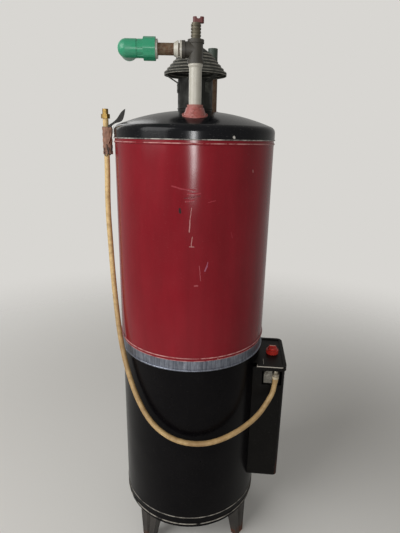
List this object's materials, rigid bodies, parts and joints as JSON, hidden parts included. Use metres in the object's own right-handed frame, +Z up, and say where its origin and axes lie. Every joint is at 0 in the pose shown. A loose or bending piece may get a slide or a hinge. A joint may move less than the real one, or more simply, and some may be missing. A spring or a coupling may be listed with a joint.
{
  "type": "gas water heater",
  "caption": "Free-standing gas storage water heater on pressed legs, with a domed lid, a ribbed flue hood, a side control cover and a hanging gas hose.",
  "frame": {"origin": "on the heater's vertical axis, at the level of the floor its feet stand on", "axes": "+Z up along the heater's axis, -Y towards the front, +X towards the side with the controls"},
  "size_m": [0.5805, 0.4939, 1.6225],
  "materials": {
    "red_enamel": "gloss paint, scratched",
    "black_enamel": "gloss paint",
    "bare_band": "bare sheet, dulled",
    "tank_steel": "primer",
    "galvanised": "galvanised, sooty",
    "burner_iron": "as cast",
    "tube_aluminium": "drawn",
    "cast_aluminium": "die cast, dull",
    "knob_red": "moulded",
    "spigot_brass": "dull",
    "hose_rubber": "matte, sun-bleached",
    "clip_steel": "bright",
    "tie_rubber": "matte, a strip of inner tube",
    "escutcheon_steel": "primer, chalked",
    "red_oxide": "primer, rusted",
    "white_plastic": "moulded",
    "grey_plastic": "moulded",
    "valve_metal": "plated, dull",
    "lever_red": "moulded",
    "rusted_steel": "rusted",
    "green_plastic": "moulded"
  },
  "bodies": {
    "heater": {"upper_jacket": "red_enamel", "jacket_band": "bare_band", "lower_jacket": "black_enamel", "base_ring": "black_enamel", "base_pan": "black_enamel", "lid": "black_enamel", "leg_1": "black_enamel", "leg_2": "black_enamel", "leg_3": "black_enamel", "leg_4": "black_enamel", "tank_shell": "tank_steel", "tank_top_head": "tank_steel", "tank_bottom_head": "tank_steel", "flue_tube": "tank_steel", "burner": "burner_iron", "burner_tube": "tube_aluminium", "flue_pipe": "galvanised", "hood": "galvanised", "hood_strap_1": "galvanised", "hood_strap_2": "galvanised", "hood_strap_3": "galvanised", "control_cover": "black_enamel", "control_cap": "black_enamel", "thermostat_body": "cast_aluminium", "gas_spigot": "spigot_brass", "hose_clip": "clip_steel", "gas_hose": "hose_rubber", "hose_tie": "tie_rubber", "tie_hook": "clip_steel", "hose_nozzle": "spigot_brass", "hot_escutcheon": "escutcheon_steel", "hot_socket": "red_oxide", "hot_pipe": "white_plastic", "outlet_tee": "grey_plastic", "relief_valve": "valve_metal", "relief_lever": "lever_red", "white_rings": "white_plastic", "steel_nipple": "rusted_steel", "green_adapter": "green_plastic", "green_elbow": "green_plastic", "cold_escutcheon": "escutcheon_steel", "cold_socket": "red_oxide", "cold_pipe": "rusted_steel", "cold_adapter": "green_plastic"},
    "knob": {"knob": "knob_red"}
  },
  "joints": [
    {"name": "knob_turn", "type": "hinge", "parent": "heater", "child": "knob", "pos_m": [0.26612, -0.0511, 0.669], "axis": [0, 0, 1], "range_deg": [-270, 0]}
  ]
}
